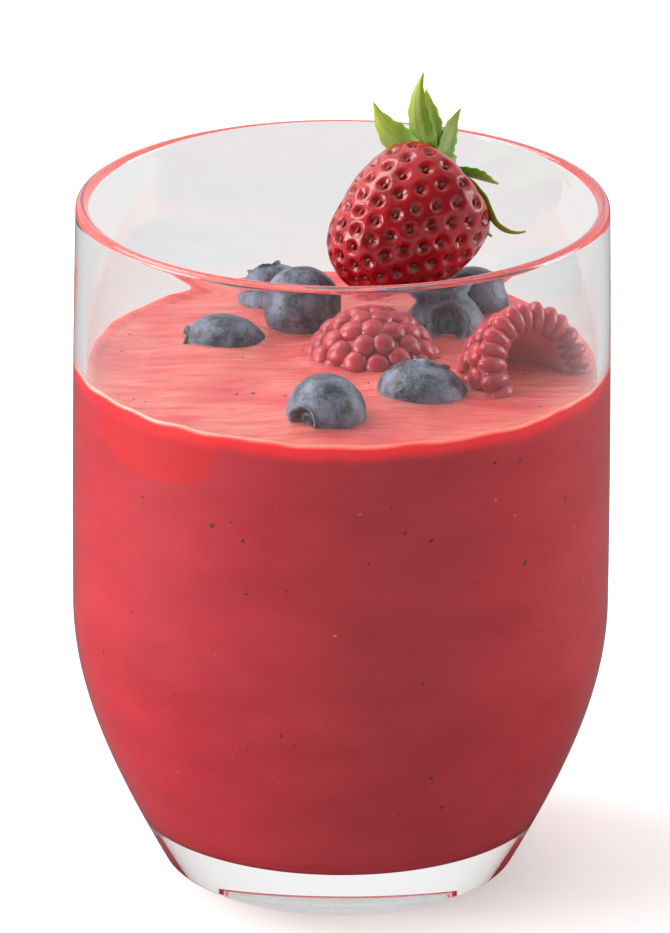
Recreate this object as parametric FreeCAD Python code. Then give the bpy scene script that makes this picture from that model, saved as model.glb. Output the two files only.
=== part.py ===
"""Berry smoothie in a clear footed tumbler, topped with whole fruit.

Millimetres, +Z up. The origin is the centre of the foot's flat underside, and
the glass is turned about Z. -Y is the front. Each piece is a node of its own:
the glass, the smoothie that fills it, seven blueberries, two raspberries with
their open hollows, and a strawberry with its cap of leaves.
"""
import FreeCAD
import Part

import math
import os

from FreeCAD import Rotation, Vector

# ---- the glass
GLASS_HEIGHT = 113.1
RIM_RADIUS = 43.15
BELLY_RADIUS = 44.0        # widest, where the wall stands upright
BELLY_HEIGHT = 44.6
FOOT_RADIUS = 29.0
FLARE_ANGLE = 28.4         # degrees that the wall leans out at the foot
WALL = 2.1
FLOOR_THICKNESS = 9.0      # solid glass under the drink
INNER_CORNER = 5.0         # round between the floor and the wall inside
FOOT_EDGE = 1.0            # round under the foot
STRAIGHT_SHARE = 0.74      # how long the wall keeps its lean from the foot up
UPRIGHT_SHARE = 0.70       # how long it keeps upright from the belly down
TOUCH = 0.01               # two heights or radii this near are the same

# ---- the drink
FILL_HEIGHT = 86.0         # level of the drink above the table
CLING_RISE = 0.7           # how far it creeps up the wall
CLING_WIDTH = 2.5
CROWN_RISE = 0.5           # how much higher it stands in the middle

# ---- the fruit
FRUIT_GAP = 0.15           # least room between two pieces of fruit, and to the wall
LIP_WIDTH = 0.9            # a blueberry's ring of calyx lobes
LIP_HEIGHT = 0.7
LOBES = 5
NOTCH_WIDTH = 1.3
NOTCH_FLOOR = 0.2          # what the notches leave of the ring

DRUPELET = 3.5             # a raspberry's beads, across
BEAD_PITCH = 0.94          # space for a bead round the rim, over its size
ROW_PITCH = 0.86           # space for a row of beads, over a bead's size
DRUPELET_OVERLAP = 1.24    # size of a bead over the space it is given
BEAD_UNEVEN = 0.05         # how much bead sizes differ
UNEVEN_STEPS = (7.3, 3.1)  # how that changes from bead to bead and from row to row
SEW_TOLERANCE = 0.001
HOLLOW_SHARE = 0.52        # a raspberry's hollow, across, over its whole width
TIP_THICKNESS = 4.5        # from a raspberry's tip to the bottom of its hollow
HOLLOW_SHOULDER = 0.35     # how deep the hollow's wall starts, over its depth
HOLLOW_RINGS = (0.3, 0.6, 0.85, 1.0)
LIP_TURNS = (150, 120, 90, 60, 30)
FACETS_PER_BEAD = 4        # columns of facets for each bead round the rim
SKIN_RINGS = 20

STRAWBERRY_LENGTH = 24.8
STRAWBERRY_WIDTH = 22.4
# poles of its outline, from the shoulders' dish to the blunt tip: share of the
# length and share of the half width
STRAWBERRY_POLES = [(0.05, 0.0), (0.02, 0.40), (-0.04, 0.86), (0.18, 1.05), (0.45, 1.04),
                    (0.72, 0.86), (0.99, 0.60), (1.0, 0.0)]
CAP_RADIUS = 3.4           # the disc that the leaves grow from
CAP_THICKNESS = 1.4
STALK_RADIUS = 1.4
STALK_TIP_RADIUS = 1.0
LEAF_THICKNESS = 0.6
LEAF_STATIONS = 6
LEAF_CUP = 0.28            # rise of a leaf's edges over its half width
LEAF_ROOT = 0.42           # width where it leaves the cap, over its full width
LEAF_TIP = 0.22            # half width left at the tip
LEAF_SWELL = 1.35          # how soon a leaf is widest, and where that swell starts
LEAF_SWELL_START = 0.12

# ---- the balls that stand for the fruit while it settles
CALYX_BALLS = 10
CALYX_BALL_OUT = 0.3       # past the ring, over the lip's width
CALYX_BALL_UP = 0.4        # above the ring's foot, over the lip's height
BELT_BALLS = 8             # round a flat blueberry
BELT_SHARE = 0.42          # a belt ball's radius over the berry's height
BEAD_BALLS = 14            # in each ring of a raspberry
BEAD_BALL_RINGS = 4
SHOULDER_BALL = 0.98       # a strawberry's end balls over its half width
TIP_BALL = 0.62
SETTLE_ROUNDS = 400
SETTLED = 0.001            # a move this small counts as still

# name, centre across and back and above the drink's level, width, height,
# calyx ring's radius, and the way the ring faces
BLUEBERRIES = [
    ("blueberry_1", (-11.0, 27.3, 0.6), 13.2, 11.8, 2.6, (-0.3, 0.4, 0.85)),
    ("blueberry_2", (-6.9, 16.6, 3.2), 13.0, 12.6, 2.4, (-0.2, 0.9, 0.4)),
    ("blueberry_3", (-19.0, 8.8, -1.8), 12.4, 15.2, 2.6, (-0.95, -0.05, 0.25)),
    ("blueberry_4", (-2.4, -28.2, 1.1), 13.0, 12.2, 2.5, (-0.62, -0.72, -0.12)),
    ("blueberry_5", (12.9, -15.2, -0.5), 15.0, 11.2, 2.8, (0.25, 0.3, 0.9)),
    ("blueberry_6", (17.0, 14.6, 0.1), 13.5, 11.0, 3.5, (0.05, -0.82, 0.56)),
    ("blueberry_7", (21.8, 26.6, 0.3), 13.0, 10.8, 2.5, (0.2, 0.9, 0.3)),
]

# name, centre of the open rim, width at the rim, length, and the way it opens
RASPBERRIES = [
    ("raspberry_1", (5.0, 2.4, -5.0), 23.0, 13.4, (0.0, 0.42, -0.9)),
    ("raspberry_2", (31.8, -12.2, 3.4), 21.0, 16.5, (0.57, -0.70, 0.42)),
]

STRAWBERRY_CENTRE = (9.3, 18.4, 15.6)
STRAWBERRY_POINTS = (-0.686, -0.546, -0.488)
CAP_FACES = (0.56, 0.34, 0.76)

# turn about the way the cap faces, length, width, rise out of the cap's plane
# and the further bend down to the tip, for each leaf
LEAVES = [
    (165, 13.5, 5.6, -28, -62),
    (186, 11.5, 5.0, 12, -66),
    (150, 10.5, 4.4, 40, -10),
    (112, 9.0, 2.8, 52, -8),
    (22, 6.8, 5.0, 16, 6),
    (2, 16.0, 2.4, -6, 60),
    (-12, 19.0, 2.6, 2, 48),
    (45, 11.0, 4.4, 8, 40),
    (80, 10.0, 4.2, 6, 36),
    (132, 9.5, 4.2, 14, 30),
]

UP = Vector(0, 0, 1)
ORIGIN = Vector(0, 0, 0)


# ---- helpers

def turned(edges):
    """The solid that a closed outline of edges in the XZ plane makes about Z."""
    face = Part.Face(Part.Wire(edges))
    solid = face.revolve(ORIGIN, UP, 360)
    return solid if solid.ShapeType == "Solid" else solid.Solids[0]


def line(a, b):
    return Part.LineSegment(a, b).toShape()


def arc(a, b, c):
    return Part.Arc(a, b, c).toShape()


def bezier(*poles):
    curve = Part.BezierCurve()
    curve.setPoles(list(poles))
    return curve


def smooth(points):
    """A smooth curve through points."""
    curve = Part.BSplineCurve()
    curve.interpolate(points)
    return curve.toShape()


def profile_point(radius, height):
    return Vector(radius, 0, height)


def aimed(shape, direction, place):
    """The shape with its +Z along direction, moved to place."""
    turn = Rotation(UP, Vector(*direction))
    moved = shape.copy()
    moved.Placement = FreeCAD.Placement(place, turn)
    return moved


# ---- the glass and the drink

def lower_curve():
    """The outside from the foot's edge to the belly, leaning, then upright."""
    lean = math.radians(FLARE_ANGLE)
    foot = profile_point(FOOT_RADIUS, 0)
    meet = profile_point(BELLY_RADIUS, (BELLY_RADIUS - FOOT_RADIUS) / math.tan(lean))
    belly = profile_point(BELLY_RADIUS, BELLY_HEIGHT)
    return bezier(foot, foot + (meet - foot) * STRAIGHT_SHARE,
                  belly + (meet - belly) * UPRIGHT_SHARE, belly)


def upper_curve(inset, top):
    """The wall from the belly to the rim, drawing in a little, moved in by inset."""
    half = (BELLY_HEIGHT + top) / 2
    return bezier(profile_point(BELLY_RADIUS - inset, BELLY_HEIGHT),
                  profile_point(BELLY_RADIUS - inset, half),
                  profile_point(RIM_RADIUS - inset, top))


def inner_lower_curve():
    """The inside below the belly: the outside moved in square to itself."""
    outside = lower_curve()
    points = []
    steps = 8
    for i in range(steps + 1):
        at = i / steps
        along = outside.tangent(at)[0]
        inward = Vector(-along.z, 0, along.x)
        points.append(outside.value(at) + inward * WALL)
    return smooth(points)


def glass_outside():
    top = GLASS_HEIGHT - WALL / 2
    outline = [
        line(profile_point(0, 0), profile_point(FOOT_RADIUS, 0)),
        lower_curve().toShape(),
        upper_curve(0, top).toShape(),
        arc(profile_point(RIM_RADIUS, top),
            profile_point(RIM_RADIUS - WALL / 2, GLASS_HEIGHT),
            profile_point(RIM_RADIUS - WALL, top)),
        line(profile_point(RIM_RADIUS - WALL, top), profile_point(0, top)),
        line(profile_point(0, top), profile_point(0, 0)),
    ]
    solid = turned(outline)
    foot = [e for e in solid.Edges
            if e.BoundBox.ZMax < TOUCH and e.BoundBox.XMax > FOOT_RADIUS - TOUCH]
    return solid.makeFillet(FOOT_EDGE, foot)


def cavity():
    """The room inside the glass, from its floor to the rim."""
    top = GLASS_HEIGHT - WALL / 2
    above = WALL
    wall = inner_lower_curve()
    low = wall.Vertexes[0].Point
    outline = [
        wall,
        upper_curve(WALL, top).toShape(),
        line(profile_point(RIM_RADIUS - WALL, top), profile_point(RIM_RADIUS - WALL, top + above)),
        line(profile_point(RIM_RADIUS - WALL, top + above), profile_point(0, top + above)),
        line(profile_point(0, top + above), profile_point(0, low.z)),
        line(profile_point(0, low.z), low),
    ]
    room = turned(outline)
    reach = 2 * BELLY_RADIUS
    below = Part.makeCylinder(reach, FLOOR_THICKNESS + reach, Vector(0, 0, -reach), UP)
    room = room.cut(below).Solids[0]
    corner = [e for e in room.Edges
              if all(abs(v.Z - FLOOR_THICKNESS) < TOUCH for v in e.Vertexes)]
    return room.makeFillet(INNER_CORNER, corner)


def cavity_radius(height):
    """Inner radius of the glass at a height above the belly."""
    share = max(0.0, (height - BELLY_HEIGHT) / (GLASS_HEIGHT - WALL / 2 - BELLY_HEIGHT))
    return BELLY_RADIUS + (RIM_RADIUS - BELLY_RADIUS) * share ** 2 - WALL


def air_above_drink():
    """What is cut off the drink: the space over its gently crowned surface."""
    wall = cavity_radius(FILL_HEIGHT)
    outside = wall + WALL
    top = GLASS_HEIGHT + 2 * FILL_HEIGHT
    surface = bezier(profile_point(0, FILL_HEIGHT + CROWN_RISE),
                     profile_point((wall - CLING_WIDTH) / 2, FILL_HEIGHT + CROWN_RISE),
                     profile_point(wall - CLING_WIDTH, FILL_HEIGHT))
    cling = bezier(profile_point(wall - CLING_WIDTH, FILL_HEIGHT),
                   profile_point(wall, FILL_HEIGHT),
                   profile_point(outside, FILL_HEIGHT + CLING_RISE * outside / wall))
    outline = [
        surface.toShape(),
        cling.toShape(),
        line(profile_point(outside, FILL_HEIGHT + CLING_RISE * outside / wall),
             profile_point(outside, top)),
        line(profile_point(outside, top), profile_point(0, top)),
        line(profile_point(0, top), profile_point(0, FILL_HEIGHT + CROWN_RISE)),
    ]
    return turned(outline)


# ---- the fruit, each about its own axis

def blueberry(width, height, ring):
    """A flattened ball whose top carries a ring of calyx lobes round a dish."""
    half = height / 2
    steps = 10
    shoulder = math.acos(ring / (width / 2))
    ball = []
    for i in range(steps + 1):
        turn = -math.pi / 2 + (shoulder + math.pi / 2) * i / steps
        ball.append(profile_point(width / 2 * math.cos(turn), half * math.sin(turn)))
    base = ball[-1].z
    rim = base + LIP_HEIGHT
    inner = ring - LIP_WIDTH
    dish = base - LIP_HEIGHT
    outline = [
        smooth(ball),
        line(ball[-1], profile_point(ring, rim)),
        arc(profile_point(ring, rim), profile_point(ring - LIP_WIDTH / 2, rim + LIP_WIDTH / 4),
            profile_point(inner, rim)),
        bezier(profile_point(inner, rim), profile_point(inner, dish),
               profile_point(0, dish)).toShape(),
        line(profile_point(0, dish), ball[0]),
    ]
    berry = turned(outline)
    for k in range(LOBES):
        notch = Part.makeBox(2 * ring, NOTCH_WIDTH, 2 * LIP_HEIGHT,
                             Vector(0, -NOTCH_WIDTH / 2, base + NOTCH_FLOOR))
        notch.rotate(ORIGIN, UP, 360 * k / LOBES)
        berry = berry.cut(notch)
    return berry.Solids[0]


def bead_size(width):
    """Beads round the rim and a bead's radius, so that whole beads go round."""
    round_rim = math.pi * (width - DRUPELET)
    return round(round_rim / (DRUPELET * BEAD_PITCH)), DRUPELET / 2 * DRUPELET_OVERLAP


def bead_ring(width, length, turn):
    """Radius and height of the ring of bead centres, turn from 0 at the rim to 90."""
    turn = math.radians(turn)
    wide = (width - DRUPELET) / 2
    deep = length - DRUPELET
    return wide * math.cos(turn), -DRUPELET / 2 - deep * math.sin(turn)


def bead_centres(width, length):
    """Where the beads sit: rows down the thimble, each half a bead round from the last."""
    side = math.pi / 2 * math.hypot(width - DRUPELET, 2 * (length - DRUPELET)) / math.sqrt(8)
    rows = round(side / (DRUPELET * ROW_PITCH))
    around = bead_size(width)[0]
    centres = []
    for row in range(rows + 1):
        radius, height = bead_ring(width, length, 90 * row / rows)
        count = max(1, round(around * radius / ((width - DRUPELET) / 2)))
        for k in range(count):
            turn = 2 * math.pi * (k + 0.5 * (row % 2)) / count
            step = UNEVEN_STEPS[0] * k + UNEVEN_STEPS[1] * row
            size = 1 + BEAD_UNEVEN * math.sin(step)
            centres.append((Vector(radius * math.cos(turn), radius * math.sin(turn), height), size))
    return centres


def bulge(point, centres, bead):
    """How far the bead over a point of the thimble stands out from it."""
    most = 0.0
    for centre, size in centres:
        reach = bead * size
        apart = (point - centre).Length
        if apart < reach:
            most = max(most, math.sqrt(reach ** 2 - apart ** 2))
    return most


def level_ring(radius, height, columns):
    """Points of a level ring about Z."""
    turns = [2 * math.pi * k / columns for k in range(columns)]
    return [Vector(radius * math.cos(a), radius * math.sin(a), height) for a in turns]


def lip_ring(width, centres, over, columns):
    """A ring of the bead row at the rim, over degrees round from the outside."""
    wide = (width - DRUPELET) / 2
    least = bead_size(width)[1] / 2
    ring = []
    for foot in level_ring(wide, -DRUPELET / 2, columns):
        stand = max(bulge(foot, centres, bead_size(width)[1]), least)
        out = Vector(foot.x / wide, foot.y / wide, 0) * math.cos(math.radians(over))
        ring.append(foot + (out + UP * math.sin(math.radians(over))) * stand)
    return ring


def skin_ring(width, length, centres, turn, columns):
    """A ring of the beaded outside, turn degrees from the rim towards the tip."""
    radius, height = bead_ring(width, length, turn)
    lean = math.radians(turn)
    ring = []
    for foot in level_ring(radius, height, columns):
        out = Vector(foot.x / radius, foot.y / radius, 0) * math.cos(lean) - UP * math.sin(lean)
        ring.append(foot + out * bulge(foot, centres, bead_size(width)[1]))
    return ring


def raspberry_rows(width, length):
    """Rings of points from the bottom of the hollow, over the rim, to the tip."""
    centres = bead_centres(width, length)
    columns = FACETS_PER_BEAD * bead_size(width)[0]
    hollow = width * HOLLOW_SHARE / 2
    floor = TIP_THICKNESS - length
    rows = []
    for share in HOLLOW_RINGS:
        turn = math.radians(90 * share)
        level = floor * (HOLLOW_SHOULDER + (1 - HOLLOW_SHOULDER) * math.cos(turn))
        rows.append(level_ring(hollow * math.sin(turn), level, columns))
    for over in LIP_TURNS:
        rows.append(lip_ring(width, centres, over, columns))
    for step in range(SKIN_RINGS):
        rows.append(skin_ring(width, length, centres, 90 * step / SKIN_RINGS, columns))
    return rows, floor, -length + DRUPELET / 2 - bead_size(width)[1]


def raspberry(width, length):
    """Beads on a thimble that is open at z 0 and ends at -length, in small facets."""
    rows, floor, tip = raspberry_rows(width, length)
    columns = len(rows[0])
    points = [point for ring in rows for point in ring]
    points += [Vector(0, 0, floor), Vector(0, 0, tip)]
    first = len(points) - 2
    last = len(points) - 1
    facets = []
    for k in range(columns):
        after = (k + 1) % columns
        facets.append((first, k, after))
        end = (len(rows) - 1) * columns
        facets.append((last, end + after, end + k))
        for row in range(len(rows) - 1):
            here = row * columns
            there = here + columns
            facets.append((here + k, there + k, there + after))
            facets.append((here + k, there + after, here + after))
    skin = Part.Shape()
    skin.makeShapeFromMesh((points, facets), SEW_TOLERANCE)
    berry = Part.makeSolid(skin)
    if berry.Volume < 0:
        berry.reverse()
    return berry


def raspberry_outline(width, length):
    """The smooth solid that just holds a raspberry, hollow and all."""
    bead = bead_size(width)[1] * (1 + BEAD_UNEVEN)
    wide = (width - DRUPELET) / 2 + bead
    deep = length - DRUPELET + bead
    top = -DRUPELET / 2 + bead
    steps = 8
    side = []
    for i in range(steps + 1):
        turn = math.pi / 2 * i / steps
        side.append(profile_point(wide * math.cos(turn), -DRUPELET / 2 - deep * math.sin(turn)))
    return turned([
        line(profile_point(0, top), profile_point(wide, top)),
        line(profile_point(wide, top), side[0]),
        smooth(side),
        line(side[-1], profile_point(0, top)),
    ])


def strawberry():
    """A blunt heart turned about Z, pointing to +Z, its shoulders dished."""
    half = STRAWBERRY_WIDTH / 2
    base = -STRAWBERRY_LENGTH / 2
    poles = [profile_point(half * r, base + STRAWBERRY_LENGTH * t) for t, r in STRAWBERRY_POLES]
    flank = Part.BSplineCurve()
    flank.buildFromPoles(poles, False, 3)
    outline = [
        flank.toShape(),
        line(poles[-1], poles[0]),
    ]
    return turned(outline)


def leaf_half_width(width, share):
    """Half the leaf's width: widest a third of the way out, narrow at the tip."""
    swell = math.sin(math.pi * min(1.0, share * LEAF_SWELL + LEAF_SWELL_START))
    return width / 2 * (LEAF_ROOT + (1 - LEAF_ROOT) * swell) * (1 - share ** 3) + LEAF_TIP


def leaf_section(where, lean, half):
    """A closed cupped outline across the leaf, square to the way it grows."""
    normal = Vector(-math.sin(lean), 0, math.cos(lean))
    thick = normal * (LEAF_THICKNESS / 2)
    cup = normal * (half * LEAF_CUP)
    side = Vector(0, half, 0)
    corners = [
        where - side + cup,
        where - thick,
        where + side + cup,
        where + side + cup + thick,
        where + thick,
        where - side + cup + thick,
    ]
    return Part.makePolygon(corners + corners[:1])


def leaf(length, width, rise, droop):
    """A cupped blade that leaves the axis along +X and bends as it goes."""
    where = Vector(CAP_RADIUS / 2, 0, 0)
    sections = []
    for i in range(LEAF_STATIONS + 1):
        share = i / LEAF_STATIONS
        lean = math.radians(rise - droop * share)
        if i:
            step = length / LEAF_STATIONS
            where = where + Vector(step * math.cos(lean), 0, step * math.sin(lean))
        sections.append(leaf_section(where, lean, leaf_half_width(width, share)))
    return Part.makeLoft(sections, True, True)


def strawberry_cap():
    """The leaves about +Z on their disc, whose underside is at z 0."""
    cap = Part.makeCylinder(CAP_RADIUS, CAP_THICKNESS)
    stalk = Part.makeCone(STALK_RADIUS, STALK_TIP_RADIUS, CAP_THICKNESS * 2)
    blades = [stalk]
    for turn, length, width, rise, droop in LEAVES:
        blade = leaf(length, width, rise, droop)
        blade.translate(Vector(0, 0, CAP_THICKNESS / 2))
        blade.rotate(ORIGIN, UP, turn)
        blades.append(blade)
    whole = cap.multiFuse(blades)
    return max(whole.Solids, key=lambda s: s.Volume)


# ---- how the fruit lies

class Fruit:
    """A piece of fruit, its place and the balls that stand for it when it settles."""

    def __init__(self, name, place, aim, balls):
        self.name = name
        self.place = Vector(place[0], place[1], FILL_HEIGHT + place[2])
        self.aim = Vector(*aim).normalize()
        turn = Rotation(UP, self.aim)
        self.balls = [(turn.multVec(offset), radius) for offset, radius in balls]

    def centres(self):
        return [(self.place + offset, radius) for offset, radius in self.balls]


def ring_of_balls(spread, height, radius, count):
    """Balls round the axis whose outer edges lie on a circle of radius spread."""
    balls = []
    for k in range(count):
        turn = 2 * math.pi * k / count
        reach = spread - radius
        balls.append((Vector(reach * math.cos(turn), reach * math.sin(turn), height), radius))
    return balls


def blueberry_balls(width, height, ring):
    """Balls for the berry's body, with a ring of small ones for its calyx lobes."""
    calyx = height / 2 * math.sin(math.acos(2 * ring / width))
    lobes = ring_of_balls(ring + LIP_WIDTH * CALYX_BALL_OUT, calyx + LIP_HEIGHT * CALYX_BALL_UP,
                          LIP_WIDTH, CALYX_BALLS)
    spare = (height - width) / 2
    if spare > 0:
        return lobes + [(UP * -spare, width / 2), (UP * spare, width / 2)]
    belt = ring_of_balls(width / 2, 0, height * BELT_SHARE, BELT_BALLS)
    return lobes + belt + [(ORIGIN, height / 2)]


def raspberry_balls(width, length):
    """Rings of balls as large as the beads, down the thimble."""
    bead = bead_size(width)[1] * (1 + BEAD_UNEVEN)
    balls = []
    for ring in range(BEAD_BALL_RINGS + 1):
        radius, height = bead_ring(width, length, 90 * ring / BEAD_BALL_RINGS)
        balls += ring_of_balls(radius + bead, height, bead, BEAD_BALLS)
    return balls


def strawberry_balls():
    half = STRAWBERRY_WIDTH / 2
    end = STRAWBERRY_LENGTH / 2
    blunt = half * TIP_BALL
    return [(UP * (half - end), half * SHOULDER_BALL), (ORIGIN, half), (UP * (end - blunt), blunt)]


def all_fruit():
    fruit = []
    for name, place, width, height, ring, aim in BLUEBERRIES:
        fruit.append(Fruit(name, place, aim, blueberry_balls(width, height, ring)))
    for name, place, width, length, aim in RASPBERRIES:
        fruit.append(Fruit(name, place, aim, raspberry_balls(width, length)))
    fruit.append(Fruit("strawberry", STRAWBERRY_CENTRE, STRAWBERRY_POINTS, strawberry_balls()))
    return fruit


def push_off_wall(piece):
    """Moves a piece in until its balls clear the wall; returns how far."""
    most = 0.0
    for centre, radius in piece.centres():
        out = math.hypot(centre.x, centre.y)
        over = out + radius + FRUIT_GAP - cavity_radius(centre.z)
        if over > most and out > 0:
            most = over
            away = Vector(-centre.x / out, -centre.y / out, 0)
    if most > 0:
        piece.place = piece.place + away * most
    return most


def push_apart(one, other):
    """Moves two pieces apart until their balls clear; returns how far."""
    most = 0.0
    for a, ra in one.centres():
        for b, rb in other.centres():
            apart = b - a
            over = ra + rb + FRUIT_GAP - apart.Length
            if over > most:
                most = over
                away = apart.normalize()
    if most > 0:
        one.place = one.place - away * (most / 2)
        other.place = other.place + away * (most / 2)
    return most


def settle(fruit):
    """Nudges the pieces off each other and off the wall until all are clear."""
    for _ in range(SETTLE_ROUNDS):
        moved = 0.0
        for i, one in enumerate(fruit):
            for other in fruit[i + 1:]:
                moved = max(moved, push_apart(one, other))
            moved = max(moved, push_off_wall(one))
        if moved < SETTLED:
            return


# ---- the whole

def cap_seat(berry, centre):
    """Where the berry's skin is met from its centre along the way its cap faces."""
    outward = Vector(*CAP_FACES).normalize() * STRAWBERRY_LENGTH
    inside = berry.common(line(centre, centre + outward))
    return max((v.Point for v in inside.Vertexes), key=lambda p: (p - centre).Length)


def build_fruit():
    """Every piece of fruit in its settled place, and what the drink is cut with."""
    fruit = all_fruit()
    settle(fruit)
    lying = {piece.name: piece for piece in fruit}
    shapes = {}
    for name, _, width, height, ring, aim in BLUEBERRIES:
        shapes[name] = aimed(blueberry(width, height, ring), aim, lying[name].place)
    cutters = list(shapes.values())
    for name, _, width, length, aim in RASPBERRIES:
        shapes[name] = aimed(raspberry(width, length), aim, lying[name].place)
        cutters.append(aimed(raspberry_outline(width, length), aim, lying[name].place))
    top = lying["strawberry"]
    berry = aimed(strawberry(), STRAWBERRY_POINTS, top.place)
    cap = aimed(strawberry_cap(), CAP_FACES, cap_seat(berry, top.place))
    shapes["strawberry"] = berry
    shapes["strawberry_leaves"] = max(cap.cut(berry).Solids, key=lambda s: s.Volume)
    cutters += [shapes["strawberry"], shapes["strawberry_leaves"]]
    return shapes, cutters


def main():
    os.makedirs("parts", exist_ok=True)
    room = cavity()
    shapes, cutters = build_fruit()
    drink = room.cut(air_above_drink()).cut(cutters)
    shapes["smoothie"] = max(drink.Solids, key=lambda s: s.Volume)
    shapes["glass"] = glass_outside().cut(room).Solids[0]
    for name, shape in shapes.items():
        print(name, shape.ShapeType, "valid", shape.isValid(), "volume", round(shape.Volume, 1))
        shape.exportStep("parts/" + name + ".step")


main()
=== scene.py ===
"""Berry smoothie in a clear footed tumbler, topped with whole fruit.

Sizes are in millimetres and turn to metres when a piece is made. The glass is
turned about Z and stands on z 0; -Y is the front. Each detailed piece stands
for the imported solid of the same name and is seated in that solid's box.
"""
import math

import bmesh
import bpy
import numpy as np
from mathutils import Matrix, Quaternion, Vector


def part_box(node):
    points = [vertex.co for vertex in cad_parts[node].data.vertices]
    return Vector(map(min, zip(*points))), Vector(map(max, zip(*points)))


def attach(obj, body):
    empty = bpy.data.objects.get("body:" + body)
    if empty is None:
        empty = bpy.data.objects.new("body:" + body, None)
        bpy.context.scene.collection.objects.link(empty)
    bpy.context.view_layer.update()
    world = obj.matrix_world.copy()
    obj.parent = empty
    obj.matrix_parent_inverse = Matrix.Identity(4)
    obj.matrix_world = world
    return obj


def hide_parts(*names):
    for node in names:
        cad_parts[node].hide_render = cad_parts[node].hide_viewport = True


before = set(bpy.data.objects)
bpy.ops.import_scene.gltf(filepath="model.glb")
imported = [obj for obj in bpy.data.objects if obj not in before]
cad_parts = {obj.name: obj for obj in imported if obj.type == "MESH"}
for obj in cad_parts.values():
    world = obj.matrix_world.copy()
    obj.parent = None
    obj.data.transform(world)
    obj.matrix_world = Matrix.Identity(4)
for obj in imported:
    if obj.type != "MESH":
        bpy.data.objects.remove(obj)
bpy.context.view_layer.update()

MM = 0.001
SEED = 11

# ---- the glass
GLASS_LOW, GLASS_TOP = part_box("glass")
GLASS_HEIGHT = (GLASS_TOP[2] - GLASS_LOW[2]) / MM
BELLY_RADIUS = (GLASS_TOP[0] - GLASS_LOW[0]) / 2 / MM
BELLY_HEIGHT = 44.6
RIM_RADIUS = 43.15
FOOT_RADIUS = 29.0
FLARE_ANGLE = 28.4          # degrees that the wall leans out at the foot
WALL = 2.1
FLOOR_THICKNESS = 9.0
INNER_CORNER = 5.0
FOOT_EDGE = 1.0
STRAIGHT_SHARE = 0.74       # how long the wall keeps its lean from the foot up
UPRIGHT_SHARE = 0.70        # how long it keeps upright from the belly down
GLASS_COLUMNS = 288

# ---- the drink
FILL_HEIGHT = 86.0
INTO_WALL = 0.15            # the drink reaches this far into the wall
CROWN_RISE = 0.5
CLING_RISE = 0.7
CLING_WIDTH = 2.5
STREAK = 0.34               # height of the streaks on top
STREAK_ACROSS = 2.1
STREAK_ALONG = 11.0
MOUND = 0.5                 # how far the drink climbs the fruit
MOUND_REACH = 1.5
SMOOTHIE_COLUMNS = 480
REFLECTION_GAP_TURN = 46               # degrees round to the left that the painted reflection gap, a deeper red patch on the side, is centred on
REFLECTION_GAP_HALF = 18               # and how far it goes to each side
# how far down the wall the painted reflection gap reaches
REFLECTION_GAP_DROP = 10.0

# ---- the fruit
LIP_HEIGHT = 0.7
LOBES = 5
DRUPELET = 3.5
DRUPELET_OVERLAP = 1.24
BEAD_PITCH = 0.94           # space for a bead round the rim, over its size
ROW_PITCH = 0.86            # space for a row of beads, over a bead's size
BEAD_THICK = 1.35
RIM_BEAD = 2.35             # width of the long drupelets round the open rim
CORE_COLUMNS = 72
HOLLOW_SHARE = 0.52
STRAWBERRY_LENGTH = 24.8
STRAWBERRY_WIDTH = 22.4
STRAWBERRY_POINTS = (-0.686, -0.546, -0.488)
# poles of its outline: share of the length and share of the half width
STRAWBERRY_POLES = [(0.05, 0.0), (0.02, 0.40), (-0.04, 0.86), (0.18, 1.05), (0.45, 1.04),
                    (0.72, 0.86), (0.99, 0.60), (1.0, 0.0)]
PIT_SPACING = 3.9
PIT_RADIUS = 1.55
PIT_DEPTH = 0.7
OUTLINE_STEPS = 300         # for placing the pits
CAP_FACES = (0.56, 0.34, 0.76)
CAP_RADIUS = 3.4
CAP_THICKNESS = 1.4
LEAF_THICKNESS = 0.5

# width, height, calyx ring's radius and the way the ring faces
BLUEBERRIES = {
    "blueberry_1": (13.2, 11.8, 2.6, (-0.3, 0.4, 0.85)),
    "blueberry_2": (13.0, 12.6, 2.4, (-0.2, 0.9, 0.4)),
    "blueberry_3": (12.4, 15.2, 2.6, (-0.95, -0.05, 0.25)),
    "blueberry_4": (13.0, 12.2, 2.5, (-0.60, -0.74, 0.06)),
    "blueberry_5": (15.0, 11.2, 2.8, (0.25, 0.3, 0.9)),
    "blueberry_6": (13.5, 11.0, 3.5, (0.05, -0.82, 0.56)),
    "blueberry_7": (13.0, 10.8, 2.5, (0.2, 0.9, 0.3)),
}

# width at the open rim, length and the way it opens
RASPBERRIES = {
    "raspberry_1": (23.0, 13.4, (0.0, 0.42, -0.9)),
    "raspberry_2": (21.0, 16.5, (0.57, -0.70, 0.42)),
}

# turn about the way the cap faces, length, width, rise, bend to the tip, roll
# about its own middle line, and how far the tip curls back
LEAVES = [
    (165, 15.0, 5.0, -28, -70, 60, 0),
    (186, 15.0, 3.8, 12, -66, 50, 0),
    (150, 12.5, 4.2, 40, -10, -35, 0),
    (112, 11.0, 3.4, 52, -8, 20, 30),
    (22, 9.0, 6.0, 16, -4, 0, 0),
    (2, 13.0, 2.4, -6, 66, 40, 70),
    (-12, 17.0, 2.6, 2, 62, -30, 110),
    (45, 11.0, 4.4, 8, 40, 0, 20),
    (80, 10.0, 4.2, 6, 36, 10, 10),
    (132, 9.5, 4.2, 14, 30, 0, 20),
]

# ---- the view
CAMERA_AWAY = 1200.0
CAMERA_RAISED = 20.63       # degrees above level
CAMERA_ROLL = 0.33
CAMERA_LENS = 283.3
CAMERA_AIM = (-1.03, 0.0, 67.26)

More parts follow.
